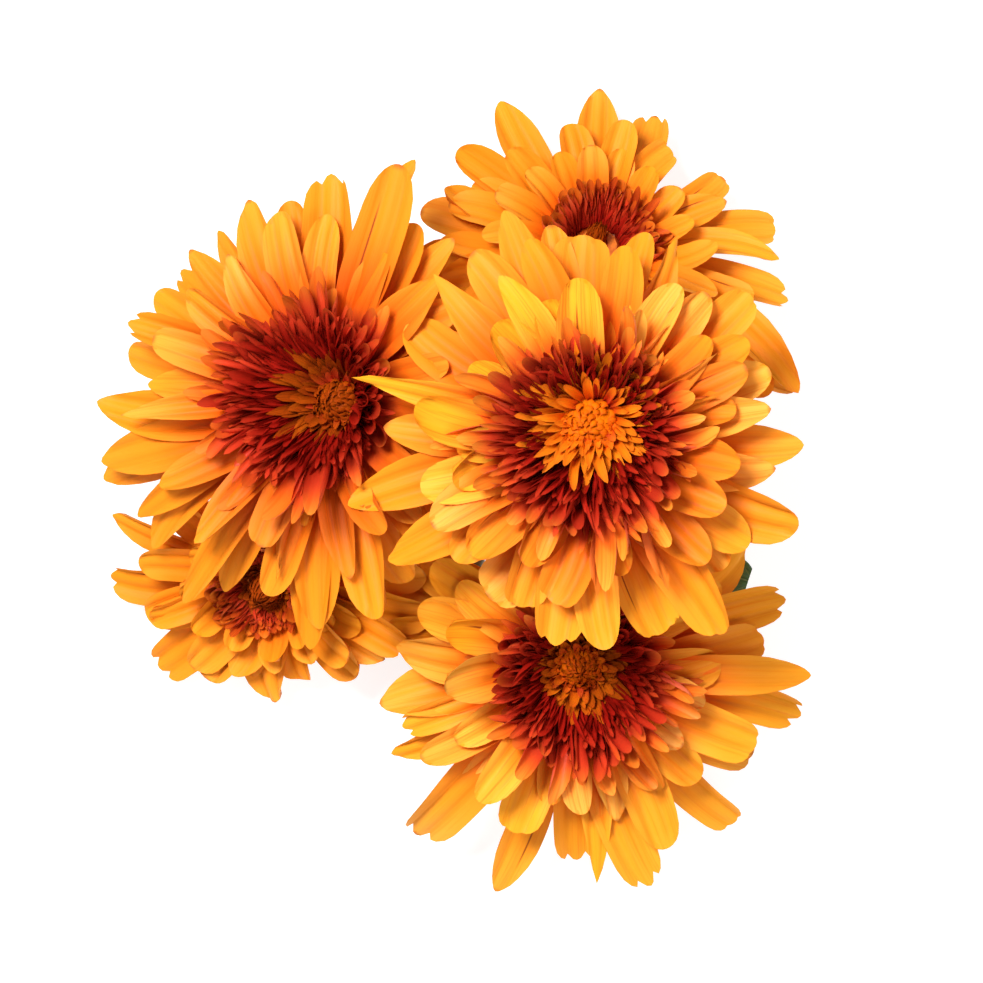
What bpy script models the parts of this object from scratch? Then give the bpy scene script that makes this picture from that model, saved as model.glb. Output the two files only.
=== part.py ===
"""Cut spray of five chrysanthemum heads, lying face up on its short stem.

Each head is a receptacle in a green involucre, with whorls of ray florets
round a gold eye. Every whorl is one closed body: a ring round the receptacle
with its florets growing out of it, all cut from one bowl-shaped surface.
Lengths below are in millimetres and are turned into metres by MM.
The frame is +Z up, with its origin under the middle of the spray on the
surface that it lies on.
"""

import math
from typing import NamedTuple

import bmesh
import bpy
from mathutils import Matrix, Vector

MM = 0.001
SEAT_GAP = 0.3                  # clearance between two pieces that touch
MERGE_DISTANCE = 0.00001

# Whorls, from the lowest to the innermost.
RING_WIDTH = 1.0                # the ring that carries a whorl's florets
SHORTEST_FLORET = 2.5           # measured outward from the ring
SIDE_CLEARANCE = 0.25           # left free beside a floret, on each side
# A floret from base to tip: share of its length, share of its full width.
FLORET_SHAPE = ((0.38, 0.9), (0.78, 1.0), (1.0, 0.3))

# Bodies turned about the head's axis, as (radius, height) down the outer side.
RECEPTACLE_TOP = 3.1
RECEPTACLE_BOTTOM = -3.3
INVOLUCRE_BOTTOM = -11.5
RECEPTACLE_PROFILE = (
    (0.0, RECEPTACLE_TOP), (3.1, RECEPTACLE_TOP),
    (6.9, RECEPTACLE_BOTTOM), (0.0, RECEPTACLE_BOTTOM),
)
INVOLUCRE_PROFILE = (
    (0.0, -3.8), (7.4, -3.8), (8.2, -5.4), (6.6, -8.8), (3.0, -11.2),
    (0.0, INVOLUCRE_BOTTOM),
)
EYE_PROFILE = (
    (0.0, 10.6), (2.8, 10.1), (4.9, 8.4), (4.1, 5.2), (2.9, RECEPTACLE_TOP + SEAT_GAP),
    (0.0, RECEPTACLE_TOP + SEAT_GAP),
)
TURNED_STEPS = 12

# Stems. The main stem's knots are where its branches and leaves grow.
STEM_RADIUS = 2.3
STEM_TIP_RADIUS = 1.5
PEDICEL_RADIUS = 1.25
STEM_APPROACH = 3.0             # the last stretch below a head is straight
STEM_ROUTE = (
    (-8.5, -37.0, 2.35), (-7.5, -30.0, 2.35), (-6.3, -23.0, 2.4), (-4.2, -14.5, 2.5),
    (-1.6, -7.0, 3.0), (1.6, -1.5, 4.6), (5.4, 2.2, 8.4), (9.0, 4.6, 13.5),
    (13.6, 7.2, 24.0),
)

# Leaves lie under the heads and carry the spray with the lowest rays.
LEAF_THICKNESS = 0.5
LEAF_REST = 0.3
LEAF_ROWS = (0.0, 0.26, 0.36, 0.5, 0.58, 0.72, 0.78, 0.9, 1.0)
LEAF_WIDTHS = (0.11, 0.11, 0.62, 0.9, 0.5, 1.0, 0.52, 0.55, 0.08)
LEAF_FOLD = 0.25

COLOURS = {
    "yellow_ray": (0.83, 0.40, 0.02),
    "orange_ray": (0.80, 0.26, 0.02),
    "spoon": (0.76, 0.18, 0.02),
    "quill": (0.28, 0.02, 0.012),
    "eye": (0.55, 0.22, 0.02),
    "green": (0.09, 0.16, 0.04),
    "leaf": (0.04, 0.12, 0.04),
    "stem": (0.20, 0.16, 0.06),
}
ROUGHNESS = 0.55


class Whorl(NamedTuple):
    """One ring of florets: its collar, the bowl it follows and its florets."""
    name: str
    colour: str
    collar_radius: float
    collar_height: float
    rise: float
    run: float
    thickness: float
    width: float
    base_width: float
    columns: int                # strips across a floret
    cup: float                  # how far its midrib lies below its edges


OUTER = Whorl("outer_rays", "yellow_ray", 7.8, -3.0, 6.5, 9.0, 0.7, 9.0, 2.0, 2, 0.5)
INNER = Whorl("inner_rays", "orange_ray", 6.9, -1.5, 9.0, 8.0, 0.7, 8.6, 1.9, 1, 0.0)
MIDDLE = Whorl("middle_rays", "orange_ray", 6.0, 0.0, 11.8, 7.2, 0.6, 6.6, 1.8, 1, 0.0)
SPOON = Whorl("spoon_florets", "spoon", 5.1, 1.5, 13.6, 6.2, 0.6, 4.6, 1.6, 1, 0.0)
QUILL = Whorl("quill_florets", "quill", 4.2, 3.0, 14.0, 4.6, 0.6, 2.6, 1.3, 1, 0.0)
# Inner whorls reach a share of the rays' length at the same azimuth.
FOLLOWING_WHORLS = ((MIDDLE, 12, 0.76), (SPOON, 11, 0.56), (QUILL, 12, 0.37))


class Head(NamedTuple):
    """A flower head: place and lean of its receptacle and its two ray whorls.

    The rays are (azimuth in degrees, reach in mm) as seen from straight above.
    """
    name: str
    centre: tuple
    lean_azimuth: float
    lean: float
    droop: float
    outer: tuple
    inner: tuple


HEADS = (
    Head("front", (16.3, 8.8, 51.0), 200, 4, 1.0,
         ((-3, 34.5), (20, 31), (42, 34.7), (66, 35.9), (92, 33), (121, 35.9), (148, 35.3),
          (177, 34), (211, 38.8), (234, 31), (260, 34.5), (290, 34), (314, 32), (336, 36.7)),
         ((9, 29), (31, 29.5), (53, 30), (80, 31.6), (107, 33.8), (134, 37), (164, 40),
          (195, 41.2), (222, 30), (247, 30), (274, 34.6), (303, 38.5), (326, 30), (348, 27))),
    Head("left", (-26.3, 15.6, 33.5), 185, 19, 4.0,
         ((-10, 23), (20, 25), (53, 33), (75, 41), (102, 33), (123, 33.4), (142, 33),
          (167, 35), (196, 40.5), (220, 39.3), (241, 37), (268, 40), (292, 28), (320, 24)),
         ((4, 22), (35, 26), (63, 31.7), (89, 36.6), (113, 35.2), (134, 34), (156, 35),
          (183, 39), (208, 37.7), (233, 42), (254, 34.4), (281, 37.3), (306, 25), (336, 22))),
    Head("top", (17.4, 39.5, 17.5), 75, 30, 1.0,
         ((8, 30), (31, 24.8), (67, 25.4), (90, 27.7), (112, 24), (140, 28.8), (163, 28.5),
          (188, 26), (214, 25), (243, 24), (272, 24), (300, 26), (328, 40), (348, 32.7)),
         ((-3, 30.4), (20, 23.4), (53, 21.5), (79, 23), (101, 22), (123, 30), (152, 23),
          (176, 23), (203, 22), (230, 21), (258, 21), (286, 22), (313, 26), (337, 29))),
    Head("lower", (14.3, -28.5, 18.5), 280, 12, 6.0,
         ((17, 36.2), (36, 33), (62, 24), (90, 23), (120, 24), (152, 31.4), (186, 33.6),
          (207, 34.5), (228, 39), (251, 40.5), (269, 33), (287, 38.8), (312, 37), (330, 33),
          (347, 38)),
         ((6, 31.3), (30, 27), (58, 22), (88, 21), (118, 21), (147, 22), (174, 30),
          (199, 30.8), (224, 27), (250, 30), (275, 37), (295, 34.4), (320, 28), (336, 32),
          (357, 38.8))),
    Head("rear", (-36.9, -14.9, 15.5), 235, 32, 0.5,
         ((20, 12), (60, 11), (100, 11), (132, 17), (159, 28), (183, 26.6), (217, 23.9),
          (240, 21), (268, 20), (298, 19), (324, 24), (350, 16)),
         ((5, 11), (40, 10), (80, 10), (116, 11), (145, 18), (172, 22), (200, 21),
          (228, 19), (254, 17), (283, 16), (309, 21.4), (337, 16))),
)
DROOP_START = 16.0              # radius where the rays begin to bend down
DROOP_SPAN = 24.0

# Side stems: the main stem's knot that each grows from, and the points on its way.
PEDICELS = (
    ("left", 7, ((4.0, 10.5, 12.0), (-7.0, 13.0, 11.5), (-17.0, 14.5, 14.5))),
    ("top", 6, ((6.8, 9.5, 5.2), (9.5, 18.0, 2.6), (13.0, 27.0, 2.6))),
    ("lower", 4, ((5.0, -10.5, 2.4), (10.0, -16.5, 1.9))),
    ("rear", 3, ((-11.0, -11.0, 2.0), (-20.0, -8.0, 1.6))),
)


class Leaf(NamedTuple):
    """A leaf: the stem and knot it grows from, heading and bend in degrees, size."""
    name: str
    stem: str
    knot: int
    heading: float
    bend: float
    length: float
    width: float


LEAVES = (
    Leaf("leaf_right", "main_stem", 5, -22, 4, 36.0, 17.0),
    Leaf("leaf_far_right", "top_pedicel", 2, -5, 12, 33.0, 15.0),
    Leaf("leaf_upper", "left_pedicel", 2, 88, 6, 24.0, 13.0),
    Leaf("leaf_left", "main_stem", 5, 148, 10, 36.0, 14.0),
    Leaf("leaf_lower_left", "main_stem", 2, 182, 8, 17.0, 10.0),
)
LEAF_ROOT_RADIUS = 0.9          # half the width of a leaf stalk


def clear_scene():
    for item in list(bpy.data.objects):
        bpy.data.objects.remove(item, do_unlink=True)


def make_material(name, colour):
    material = bpy.data.materials.new(name)
    material.use_nodes = True
    shader = material.node_tree.nodes["Principled BSDF"]
    shader.inputs["Base Color"].default_value = (*COLOURS[colour], 1.0)
    shader.inputs["Roughness"].default_value = ROUGHNESS
    shader.inputs["Metallic"].default_value = 0.0
    return material


def add_part(name, data, parent, colour):
    """Put a mesh or curve in the spray's collection, with its own material."""
    data.materials.append(make_material(name, colour))
    part = bpy.data.objects.new(name, data)
    parent.users_collection[0].objects.link(part)
    part.parent = parent
    return part


def head_matrix(head):
    """Frame of a head: origin in the receptacle, +Z out of the flower's face."""
    azimuth = math.radians(head.lean_azimuth)
    hinge = Vector((-math.sin(azimuth), math.cos(azimuth), 0.0))
    turn = Matrix.Rotation(math.radians(head.lean), 4, hinge)
    return Matrix.Translation(Vector(head.centre) * MM) @ turn


def bowl_height(head, whorl, radius):
    """Height of a whorl's surface; all whorls of a head droop alike."""
    out = radius - whorl.collar_radius
    climb = whorl.rise * (1.0 - math.exp(-out / whorl.run))
    beyond = max(0.0, radius - DROOP_START) / DROOP_SPAN
    return whorl.collar_height + climb - head.droop * beyond ** 2


def in_head_plane(head, whorl, azimuth, reach):
    """Turn a tip seen from above into an angle and a radius about the head's axis."""
    across = math.radians(azimuth - head.lean_azimuth)
    tilt = math.radians(head.lean)
    height = 0.0
    for _ in range(4):
        along = (reach * math.cos(across) - height * math.sin(tilt)) / math.cos(tilt)
        aside = reach * math.sin(across)
        radius = math.hypot(along, aside)
        height = bowl_height(head, whorl, radius)
    angle = math.atan2(aside, along) + math.radians(head.lean_azimuth)
    return angle % math.tau, radius


def length_at(florets, angle):
    """Floret length at an angle, between the two florets beside it."""
    last_angle, last_length = florets[-1]
    last_angle -= math.tau
    for next_angle, next_length in florets + [(florets[0][0] + math.tau, florets[0][1])]:
        if angle <= next_angle:
            share = (angle - last_angle) / (next_angle - last_angle)
            return last_length + share * (next_length - last_length)
        last_angle, last_length = next_angle, next_length
    return last_length


def following_florets(rays, whorl, count, share, phase):
    """Evenly spaced florets whose lengths follow the rays around them."""
    shortest = whorl.collar_radius + RING_WIDTH + SHORTEST_FLORET
    angles = [math.tau * (index + phase) / count for index in range(count)]
    return [(angle, max(shortest, share * length_at(rays, angle))) for angle in angles]


def free_half_angle(florets, index):
    """Half the angle from a floret to its nearer neighbour."""
    here = florets[index][0]
    after = (florets[(index + 1) % len(florets)][0] - here) % math.tau
    before = (here - florets[index - 1][0]) % math.tau
    return min(after, before) / 2.0


def floret_point(head, whorl, florets, index, side, row):
    """A vertex of a whorl: row 0 is the ring's inner edge, row 1 a floret's base."""
    angle, length = florets[index]
    base = whorl.collar_radius + RING_WIDTH
    radius = base
    half = whorl.base_width / 2.0
    cup = 0.0
    if row > 1:
        along, width = FLORET_SHAPE[row - 2]
        radius = base + (length - base) * along
        room = free_half_angle(florets, index) * radius - SIDE_CLEARANCE
        half = min(width * whorl.width / 2.0, room)
        cup = whorl.cup * (1.0 - abs(side))
    turn = angle + side * half / radius
    if row == 0:
        radius = whorl.collar_radius
    height = bowl_height(head, whorl, radius) - cup
    return Vector((radius * math.cos(turn), radius * math.sin(turn), height)) * MM


def add_whorl(head, whorl, florets, parent):
    """A ring with its florets: a grid wrapped round the axis, slit between florets."""
    florets = sorted(florets)
    per_floret = whorl.columns + 1
    columns = len(florets) * per_floret
    rows = len(FLORET_SHAPE) + 1
    sheet = bmesh.new()
    bmesh.ops.create_grid(sheet, x_segments=columns, y_segments=rows, size=0.5)
    slots = {}
    for vertex in sheet.verts:
        column = round((vertex.co.x + 0.5) * columns)
        row = round((vertex.co.y + 0.5) * rows)
        slots[vertex] = (column, row)
    slits = []
    for face in sheet.faces:
        left = min(slots[vertex][0] for vertex in face.verts)
        low = min(slots[vertex][1] for vertex in face.verts)
        if low >= 1 and left % per_floret == whorl.columns:
            slits.append(face)
    for vertex, (column, row) in slots.items():
        index, place = divmod(column % columns, per_floret)
        side = 2.0 * place / whorl.columns - 1.0
        vertex.co = floret_point(head, whorl, florets, index, side, row)
    bmesh.ops.delete(sheet, geom=slits, context="FACES")
    bmesh.ops.remove_doubles(sheet, verts=sheet.verts, dist=MERGE_DISTANCE)
    mesh = bpy.data.meshes.new(f"{head.name}_{whorl.name}")
    sheet.to_mesh(mesh)
    sheet.free()
    mesh.shade_smooth()
    part = add_part(mesh.name, mesh, parent, whorl.colour)
    thicken(part, whorl.thickness)


def thicken(part, thickness):
    shell = part.modifiers.new("Thickness", "SOLIDIFY")
    shell.thickness = thickness * MM
    shell.offset = 0.0


def add_turned(name, profile, parent, colour):
    """A solid of revolution about its parent's Z axis."""
    mesh = bpy.data.meshes.new(name)
    points = [Vector((radius, 0.0, height)) * MM for radius, height in profile]
    edges = [(index, index + 1) for index in range(len(points) - 1)]
    mesh.from_pydata(points, edges, [])
    part = add_part(name, mesh, parent, colour)
    screw = part.modifiers.new("Turn", "SCREW")
    screw.steps = TURNED_STEPS
    screw.render_steps = TURNED_STEPS
    screw.use_merge_vertices = True
    screw.merge_threshold = MERGE_DISTANCE
    screw.use_smooth_shade = True


def add_head(head, root):
    """All the pieces of one flower head, in the head's own frame."""
    frame = bpy.data.objects.new(f"{head.name}_head", None)
    root.users_collection[0].objects.link(frame)
    frame.parent = root
    frame.matrix_local = head_matrix(head)
    rays = {}
    for whorl, seen in ((OUTER, head.outer), (INNER, head.inner)):
        rays[whorl.name] = sorted(in_head_plane(head, whorl, *ray) for ray in seen)
        add_whorl(head, whorl, rays[whorl.name], frame)
    for step, (whorl, count, share) in enumerate(FOLLOWING_WHORLS):
        phase = (step % 2) * 0.5 + 0.1
        florets = following_florets(rays[INNER.name], whorl, count, share, phase)
        add_whorl(head, whorl, florets, frame)
    add_turned(f"{head.name}_eye", EYE_PROFILE, frame, "eye")
    add_turned(f"{head.name}_receptacle", RECEPTACLE_PROFILE, frame, "green")
    add_turned(f"{head.name}_involucre", INVOLUCRE_PROFILE, frame, "green")


def stem_top(head):
    """The last two knots of a stem, under a head's involucre."""
    seat = INVOLUCRE_BOTTOM - SEAT_GAP
    ends = (Vector((0.0, 0.0, seat - STEM_APPROACH)), Vector((0.0, 0.0, seat)))
    return [head_matrix(head) @ (end * MM) / MM for end in ends]


def branch_seat(route, knot, toward, own_radius):
    """Where something growing from a stem's knot starts, just clear of its bark."""
    centre, radius = route[knot]
    along = (route[knot + 1][0] - route[knot - 1][0]).normalized()
    direction = (toward - centre).normalized()
    sine = direction.dot(along)
    cosine = math.sqrt(1.0 - sine * sine)
    clear = radius + SEAT_GAP + own_radius * abs(sine)
    return centre + direction * clear / cosine


def add_stem(name, route, root):
    """A round stem through the knots of a route, each a point and a radius."""
    curve = bpy.data.curves.new(name, "CURVE")
    curve.dimensions = "3D"
    curve.bevel_depth = MM
    curve.bevel_resolution = 1
    curve.resolution_u = 4
    curve.use_fill_caps = True
    spline = curve.splines.new("BEZIER")
    spline.bezier_points.add(len(route) - 1)
    for knot, (point, radius) in zip(spline.bezier_points, route):
        knot.co = point * MM
        knot.handle_left_type = "AUTO"
        knot.handle_right_type = "AUTO"
        knot.radius = radius
    add_part(name, curve, root, "stem")


def add_stems(root):
    """The main stem, which carries the front head, and a pedicel for each other."""
    heads = {head.name: head for head in HEADS}
    points = [Vector(point) for point in STEM_ROUTE] + stem_top(heads["front"])
    taper = (STEM_TIP_RADIUS - STEM_RADIUS) / (len(points) - 1)
    main = [(point, STEM_RADIUS + taper * index) for index, point in enumerate(points)]
    routes = {"main_stem": main}
    for name, knot, way in PEDICELS:
        way = [Vector(point) for point in way]
        start = branch_seat(main, knot, way[0], PEDICEL_RADIUS)
        points = [start, *way, *stem_top(heads[name])]
        routes[f"{name}_pedicel"] = [(point, PEDICEL_RADIUS) for point in points]
    for name, route in routes.items():
        add_stem(name, route, root)
    return routes


def leaf_point(leaf, root, side, row):
    """A vertex of a leaf, from its root (row 0) to its tip."""
    along = LEAF_ROWS[row]
    heading = math.radians(leaf.heading + leaf.bend * along)
    forward = Vector((math.cos(heading), math.sin(heading), 0.0))
    across = Vector((-forward.y, forward.x, 0.0))
    rest = LEAF_REST + LEAF_THICKNESS / 2.0
    half = LEAF_WIDTHS[row] * leaf.width / 2.0
    height = rest + (root.z - rest) * (1.0 - along) ** 3 + LEAF_FOLD * half * abs(side)
    base = Vector((root.x, root.y, height))
    return (base + forward * leaf.length * along + across * half * side) * MM


def add_leaf(leaf, route, root):
    """A lobed leaf: a grid shaped by its width along the midrib, then thickened."""
    heading = math.radians(leaf.heading)
    toward = route[leaf.knot][0] + Vector((math.cos(heading), math.sin(heading), 0.0))
    start = branch_seat(route, leaf.knot, toward, LEAF_ROOT_RADIUS)
    rows = len(LEAF_ROWS) - 1
    sheet = bmesh.new()
    bmesh.ops.create_grid(sheet, x_segments=2, y_segments=rows, size=0.5)
    for vertex in sheet.verts:
        side = 2.0 * vertex.co.x
        row = round((vertex.co.y + 0.5) * rows)
        vertex.co = leaf_point(leaf, start, side, row)
    mesh = bpy.data.meshes.new(leaf.name)
    sheet.to_mesh(mesh)
    sheet.free()
    mesh.shade_smooth()
    part = add_part(leaf.name, mesh, root, "leaf")
    thicken(part, LEAF_THICKNESS)


def stand_on_origin(root):
    """Move the spray so that the bottom of its box is centred on the origin."""
    bpy.context.view_layer.update()
    graph = bpy.context.evaluated_depsgraph_get()
    corners = []
    for part in root.users_collection[0].objects:
        if part.type in {"MESH", "CURVE"}:
            solid = part.evaluated_get(graph)
            mesh = solid.to_mesh()
            corners += [solid.matrix_world @ vertex.co for vertex in mesh.vertices]
            solid.to_mesh_clear()
    low = Vector([min(corner[axis] for corner in corners) for axis in range(3)])
    high = Vector([max(corner[axis] for corner in corners) for axis in range(3)])
    root.location = -Vector(((low.x + high.x) / 2.0, (low.y + high.y) / 2.0, low.z))
    bpy.context.view_layer.update()


def main():
    clear_scene()
    collection = bpy.data.collections.new("chrysanthemum_spray")
    bpy.context.scene.collection.children.link(collection)
    root = bpy.data.objects.new("spray", None)
    collection.objects.link(root)
    for head in HEADS:
        add_head(head, root)
    routes = add_stems(root)
    for leaf in LEAVES:
        add_leaf(leaf, routes[leaf.stem], root)
    stand_on_origin(root)


main()
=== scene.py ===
"""Looks of a cut spray of five chrysanthemum heads, lying face up on its stem.

Every floret is a thin closed sheet, grown along a path over the bowl of its
whorl in the frame of its own head. Lengths are in millimetres until a mesh is
written, and angles are in degrees where they are stated and in radians inside
the functions.
"""

import math
from typing import NamedTuple

import bpy
import numpy as np
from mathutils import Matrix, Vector


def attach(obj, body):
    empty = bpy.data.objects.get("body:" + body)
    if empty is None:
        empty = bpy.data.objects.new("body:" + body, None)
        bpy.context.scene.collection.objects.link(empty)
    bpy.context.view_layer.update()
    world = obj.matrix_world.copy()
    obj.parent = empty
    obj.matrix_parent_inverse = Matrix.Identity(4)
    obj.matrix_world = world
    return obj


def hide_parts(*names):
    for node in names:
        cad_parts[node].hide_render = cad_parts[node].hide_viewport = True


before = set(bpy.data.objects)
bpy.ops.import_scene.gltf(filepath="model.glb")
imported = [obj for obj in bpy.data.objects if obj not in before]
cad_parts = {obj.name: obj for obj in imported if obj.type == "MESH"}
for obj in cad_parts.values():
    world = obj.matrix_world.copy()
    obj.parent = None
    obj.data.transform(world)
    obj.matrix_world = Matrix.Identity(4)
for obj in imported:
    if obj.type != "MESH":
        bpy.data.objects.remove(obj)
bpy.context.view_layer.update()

MM = 0.001
SAMPLES = 64  # points along the path that a floret follows
ALONG = np.linspace(0.0, 1.0, SAMPLES)[None, :]
GOLDEN_ANGLE = math.pi * (3.0 - math.sqrt(5.0))
RECEPTACLE_TOP = 3.1  # above a head's origin
DROOP_START = 16.0  # radius where the rays begin to bend down
DROOP_SPAN = 24.0

# The bowl of each level of florets, from the lowest whorl (level 0) to the middle
# of the eye (level 6): collar radius, collar height, rise and run, as in the
# frame's whorls.
BOWLS = np.array((
    (7.8, -3.0, 6.5, 9.0), (6.9, -1.5, 9.0, 8.0), (6.0, 0.0, 11.8, 7.2),
    (5.1, 1.5, 13.6, 6.2), (4.2, 3.0, 14.0, 4.6), (3.0, 5.0, 11.2, 4.2),
    (1.6, 8.4, 6.4, 2.6),
))

# A floret's tip: how far it tapers (share of length), how square its outline is
# (1 is straight-sided, 2 round), its width where the taper ends, depth of notches.
TIPS = {
    "round": (0.20, 2.0, 0.84, 0.00),
    "cup": (0.24, 2.0, 0.86, 0.00),
    "blunt": (0.14, 2.2, 0.90, 0.012),
    "notch": (0.17, 2.0, 0.86, 0.04),
    "point": (0.31, 1.65, 0.76, 0.00),
    "sharp": (0.44, 1.4, 0.50, 0.00),
    "quill": (0.40, 1.7, 0.60, 0.00),
    "closed": (0.55, 1.3, 0.14, 0.00),
}
FURROW = 0.36  # place of the two furrows, as share of the half width
FURROW_WIDTH = 0.15
RUFFLE_WAVE = 9.0  # phase that a ruffle runs through along a floret
RUFFLE_SLANT = 1.3  # and from its middle to its edge

RAY_COLUMNS = (-1.0, -0.93, -0.76, -0.56, -0.36, -0.18, 0.0,
               0.18, 0.36, 0.56, 0.76, 0.93, 1.0)
SPOON_COLUMNS = (-1.0, -0.92, -0.72, -0.48, -0.24, 0.0, 0.24, 0.48, 0.72, 0.92, 1.0)
QUILL_COLUMNS = (-1.0, -0.72, -0.36, 0.0, 0.36, 0.72, 1.0)
BUD_COLUMNS = (-1.0, -0.6, 0.0, 0.6, 1.0)


class Head(NamedTuple):
    """A flower head: how dark and deep its colours are, and its listed rays.

    Its rays are tuples of the values of Ray.
    """
    name: str
    droop: float  # how far the rays bend down, at the end of their span
    spread: float  # share of the full radius of the rolled florets
    dark_radius: float  # how far out the maroon of the inner florets runs
    amber: float  # below 0 for lemon rays, 1 for deep amber ones
    painted_lit_side_paling: float  # painted light: how much less amber the middle rays are on the side toward the key light
    eye_amber: float  # how amber the eye is
    eye_size: float  # share of the full radius of the eye's florets
    eye: tuple  # how far the eye lies off the head's axis, and its rise
    disc: tuple  # the same for the disc in it
    lift: float  # pitch added to the inner florets
    outer: tuple
    inner: tuple
    middle: tuple


class Ray(NamedTuple):
    """A listed ray, in degrees and millimetres as seen from straight above."""
    azimuth: float
    reach: float
    width: float
    tip: str = "round"
    twist: float = 0.0  # angle that the ray twists through, in radians


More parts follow.
